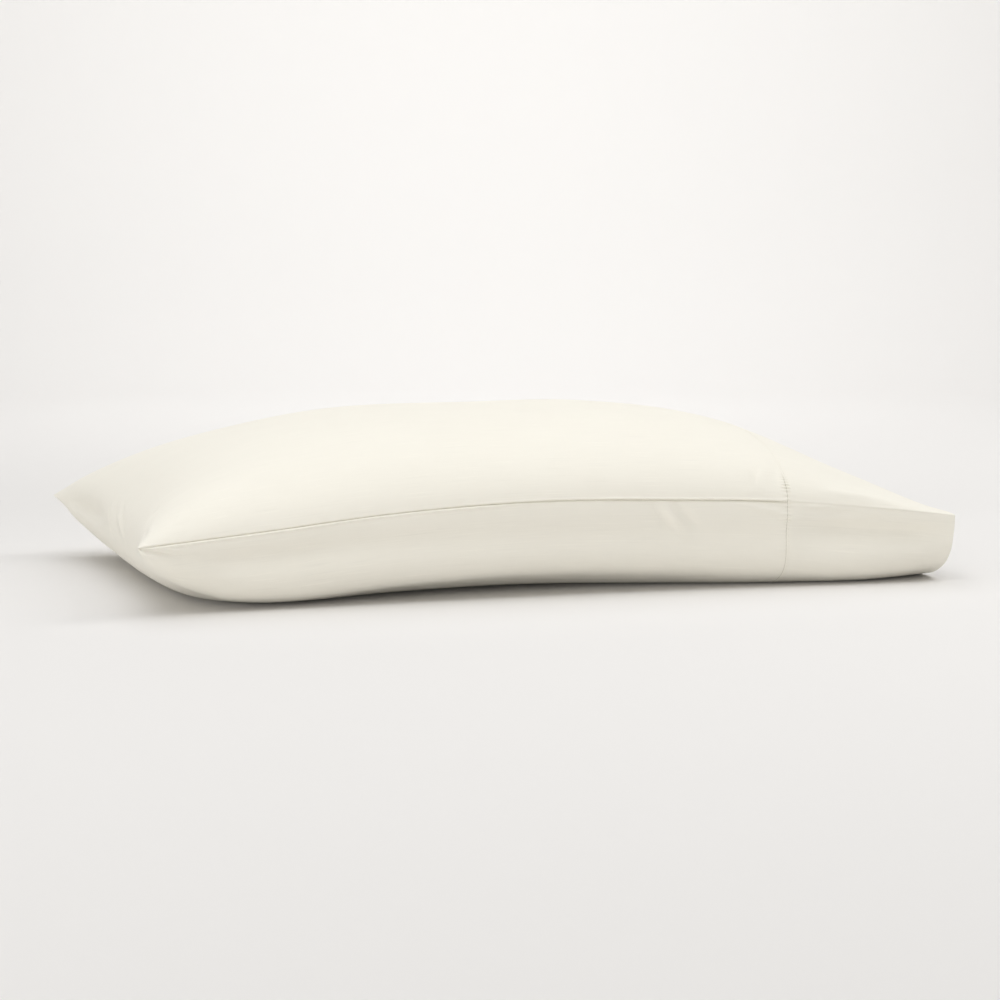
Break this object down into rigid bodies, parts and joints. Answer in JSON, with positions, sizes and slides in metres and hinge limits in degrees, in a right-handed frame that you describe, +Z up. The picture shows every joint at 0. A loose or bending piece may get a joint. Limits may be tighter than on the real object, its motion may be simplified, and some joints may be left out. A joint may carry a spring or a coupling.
{
  "type": "pillowcase",
  "caption": "Filled cotton pillowcase lying on its back, with a folded closed end, sewn side seams and a doubled cuff round the open mouth.",
  "frame": {"origin": "middle of the bounding box, on the surface that the case lies on", "axes": "+X from the closed end to the open mouth, +Y from the front side seam to the back one, +Z up"},
  "size_m": [0.742, 0.469, 0.1552],
  "materials": {
    "body_cotton": "matt ivory cotton, fine plain weave",
    "cuff_cotton": "matt ivory cotton, fine plain weave, doubled"
  },
  "bodies": {
    "root": {"case_body": "body_cotton", "cuff": "cuff_cotton"}
  },
  "joints": []
}
